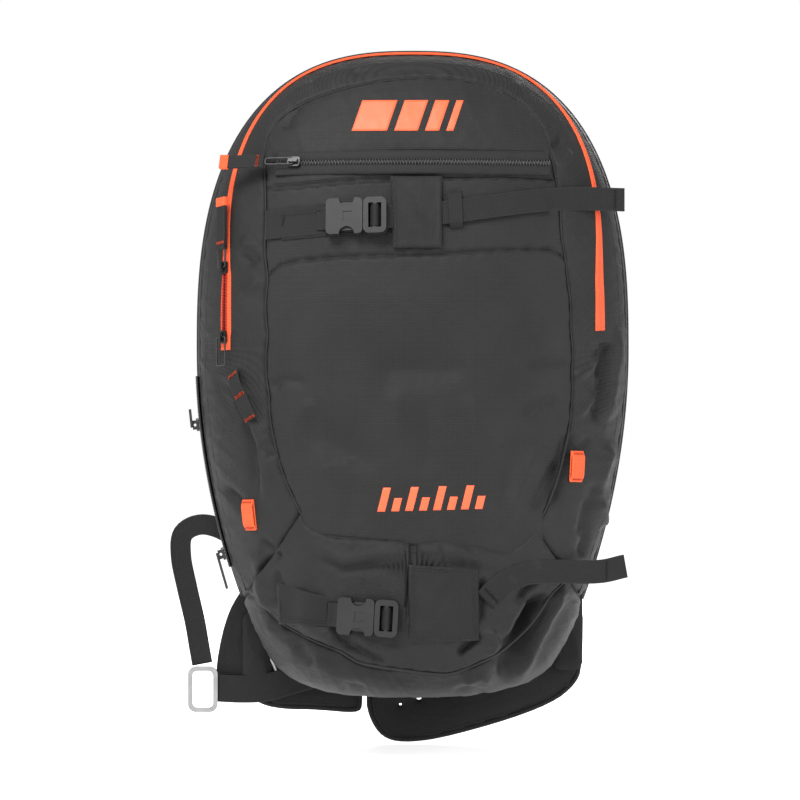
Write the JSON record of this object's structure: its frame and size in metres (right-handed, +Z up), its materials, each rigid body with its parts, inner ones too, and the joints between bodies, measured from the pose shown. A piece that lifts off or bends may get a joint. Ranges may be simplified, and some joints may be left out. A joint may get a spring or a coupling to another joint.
{
  "type": "avalanche airbag backpack",
  "caption": "Ski touring pack with a folded airbag under its rim, front pocket, compression straps with side-release buckles, padded harness, hip belt and pull trigger.",
  "frame": {"origin": "centre of the spine pad's flat face, where the pack rests on the wearer's back", "axes": "+Z up the pack, +Y out of the back panel towards the wearer, +X to the wearer's right"},
  "size_m": [0.3984, 0.2726, 0.6021],
  "materials": {
    "shell_fabric": "ripstop nylon, matte",
    "foam_pad": "spacer mesh over foam",
    "belt_fabric": "smooth nylon, satin",
    "webbing": "woven webbing",
    "accent": "orange tape",
    "zip_tape": "coated zip",
    "zip_metal": "black enamel",
    "puller": "webbing tab on a link",
    "buckle": "moulded acetal",
    "frame_plastic": "moulded",
    "steel": "plated steel",
    "aluminium": "satin",
    "brass": "machined",
    "rubber": "hose",
    "handle": "moulded",
    "airbag": "packed coated nylon"
  },
  "bodies": {
    "pack": {"back_panel": "foam_pad", "frame_sheet": "frame_plastic", "frame_stays": "aluminium", "back_pads": "foam_pad", "airbag_cover": "shell_fabric", "gusset": "shell_fabric", "base_panel": "shell_fabric", "front_panel": "shell_fabric", "top_pocket": "shell_fabric", "front_zip": "zip_tape", "main_zip": "accent", "side_zip": "zip_tape", "strap_anchors": "webbing", "upper_buckle_socket": "buckle", "upper_strap_tail": "webbing", "strap_keeper": "webbing", "lower_pocket": "shell_fabric", "lower_buckle_socket": "buckle", "lower_strap_tail": "webbing", "lower_flap": "shell_fabric", "gear_loops": "accent", "left_shoulder_strap": "foam_pad", "right_shoulder_strap": "foam_pad", "harness_webbing": "webbing", "ladder_locks": "buckle", "haul_loop": "webbing", "trigger_pouch": "belt_fabric", "trigger_cable": "rubber", "belt_roots": "belt_fabric", "hip_webbing": "webbing", "leg_strap": "webbing", "airbag": "airbag", "gas_cylinder": "aluminium", "cylinder_head": "brass", "ejector": "frame_plastic", "air_hose": "rubber"},
    "front_slider": {"front_zip_slider": "zip_metal"},
    "front_pull": {"front_zip_pull": "puller"},
    "main_upper_slider": {"main_zip_upper_slider": "zip_metal"},
    "main_upper_pull": {"main_zip_upper_pull": "puller"},
    "main_lower_slider": {"main_zip_lower_slider": "zip_metal"},
    "main_lower_pull": {"main_zip_lower_pull": "puller"},
    "side_upper_slider": {"side_zip_upper_slider": "zip_metal"},
    "side_lower_slider": {"side_zip_lower_slider": "zip_metal"},
    "upper_plug": {"upper_buckle_plug": "buckle"},
    "upper_prong_a": {"upper_buckle_prong_a": "buckle"},
    "upper_prong_b": {"upper_buckle_prong_b": "buckle"},
    "lower_plug": {"lower_buckle_plug": "buckle"},
    "lower_prong_a": {"lower_buckle_prong_a": "buckle"},
    "lower_prong_b": {"lower_buckle_prong_b": "buckle"},
    "strap_flap": {"strap_flap": "shell_fabric"},
    "trigger_handle": {"trigger_handle": "handle"},
    "sternum_left": {"sternum_strap_left": "webbing", "sternum_socket": "buckle"},
    "sternum_right": {"sternum_strap_right": "webbing", "sternum_plug": "buckle"},
    "hip_wing_left": {"hip_wing_left": "belt_fabric"},
    "hip_wing_right": {"hip_wing_right": "belt_fabric"},
    "hip_buckle": {"hip_buckle": "steel"},
    "leg_hook": {"leg_hook": "steel"}
  },
  "joints": [
    {"name": "front_zip_run", "type": "hinge", "parent": "pack", "child": "front_slider", "pos_m": [0, 0.2017, 0.165], "axis": [0, 0, 1], "range_deg": [0, 36]},
    {"name": "front_pull_turn", "type": "hinge", "parent": "front_slider", "child": "front_pull", "pos_m": [-0.10138, -0.11984, 0.16712], "axis": [0.0979, 0.3105, 0.9455], "range_deg": [0, 110]},
    {"name": "main_upper_run", "type": "hinge", "parent": "pack", "child": "main_upper_slider", "pos_m": [-0.18044, 0.18593, 0.03186], "axis": [-0.9975, -0.068, 0.017], "range_deg": [-5.49, 8]},
    {"name": "main_upper_pull_turn", "type": "hinge", "parent": "main_upper_slider", "child": "main_upper_pull", "pos_m": [-0.1625, -0.10219, 0.07759], "axis": [0.6667, -0.7347, 0.1255], "range_deg": [0, 110]},
    {"name": "main_lower_run", "type": "hinge", "parent": "pack", "child": "main_lower_slider", "pos_m": [-0.08133, 0.87588, -0.02885], "axis": [0.9968, -0.0801, 0.0083], "range_deg": [-0.98, 0.32]},
    {"name": "main_lower_pull_turn", "type": "hinge", "parent": "main_lower_slider", "child": "main_lower_pull", "pos_m": [-0.16295, -0.10715, 0.01847], "axis": [-0.666, 0.7449, -0.0395], "range_deg": [0, 110]},
    {"name": "side_upper_run", "type": "hinge", "parent": "pack", "child": "side_upper_slider", "pos_m": [0.46032, -0.04414, 0.0147], "axis": [0, 0.9999, -0.012], "range_deg": [-4.93, 2.1]},
    {"name": "side_lower_run", "type": "hinge", "parent": "pack", "child": "side_lower_slider", "pos_m": [0.46032, -0.04414, 0.0147], "axis": [0, 0.9999, -0.012], "range_deg": [-0.35, 3.25]},
    {"name": "upper_release", "type": "slide", "parent": "pack", "child": "upper_plug", "axis": [0.9903, -0.1361, 0.0289], "range_m": [0, 0.026]},
    {"name": "upper_prong_a_press", "type": "hinge", "parent": "upper_plug", "child": "upper_prong_a", "pos_m": [-0.04252, -0.14389, 0.12888], "axis": [-0.1392, -0.9686, 0.2059], "range_deg": [0, 6], "stiffness_Nm_per_rad": 0.02},
    {"name": "upper_prong_b_press", "type": "hinge", "parent": "upper_plug", "child": "upper_prong_b", "pos_m": [-0.04252, -0.14817, 0.10873], "axis": [0.1392, 0.9686, -0.2059], "range_deg": [0, 6], "stiffness_Nm_per_rad": 0.02},
    {"name": "lower_release", "type": "slide", "parent": "pack", "child": "lower_plug", "axis": [0.9863, -0.1562, -0.0523], "range_m": [0, 0.026]},
    {"name": "lower_prong_a_press", "type": "hinge", "parent": "lower_plug", "child": "lower_prong_a", "pos_m": [-0.03219, -0.1733, -0.20531], "axis": [-0.1564, -0.9877, 0], "range_deg": [0, 6], "stiffness_Nm_per_rad": 0.02},
    {"name": "lower_prong_b_press", "type": "hinge", "parent": "lower_plug", "child": "lower_prong_b", "pos_m": [-0.03325, -0.17313, -0.22588], "axis": [0.1564, 0.9877, 0], "range_deg": [0, 6], "stiffness_Nm_per_rad": 0.02},
    {"name": "strap_flap_lift", "type": "hinge", "parent": "pack", "child": "strap_flap", "pos_m": [0, -0.13473, 0.152], "axis": [-1, 0, 0], "range_deg": [0, 95]},
    {"name": "trigger_pull", "type": "slide", "parent": "pack", "child": "trigger_handle", "axis": [-0.24, -0.144, -0.96], "range_m": [0, 0.05]},
    {"name": "sternum_height", "type": "slide", "parent": "pack", "child": "sternum_left", "axis": [0, 0, 1], "range_m": [-0.01, 0.015]},
    {"name": "sternum_release", "type": "slide", "parent": "sternum_left", "child": "sternum_right", "axis": [1, 0, 0], "range_m": [0, 0.014]},
    {"name": "hip_wing_left_fold", "type": "hinge", "parent": "pack", "child": "hip_wing_left", "pos_m": [-0.15, 0.003, -0.255], "axis": [0, 0, 1], "range_deg": [0, 105]},
    {"name": "hip_wing_right_fold", "type": "hinge", "parent": "pack", "child": "hip_wing_right", "pos_m": [0.15, 0.003, -0.26], "axis": [0, 0, -1], "range_deg": [0, 105]},
    {"name": "hip_buckle_swing", "type": "hinge", "parent": "pack", "child": "hip_buckle", "pos_m": [-0.1725, -0.0089, -0.288], "axis": [0, 0, 1], "range_deg": [-60, 60]},
    {"name": "leg_hook_swing", "type": "hinge", "parent": "pack", "child": "leg_hook", "pos_m": [-0.117, -0.0054, -0.28], "axis": [0, 1, 0], "range_deg": [-25, 8]}
  ],
  "couplings": [
    {"joint": "upper_prong_b_press", "follows": "upper_prong_a_press", "ratio": 1},
    {"joint": "lower_prong_b_press", "follows": "lower_prong_a_press", "ratio": 1}
  ]
}
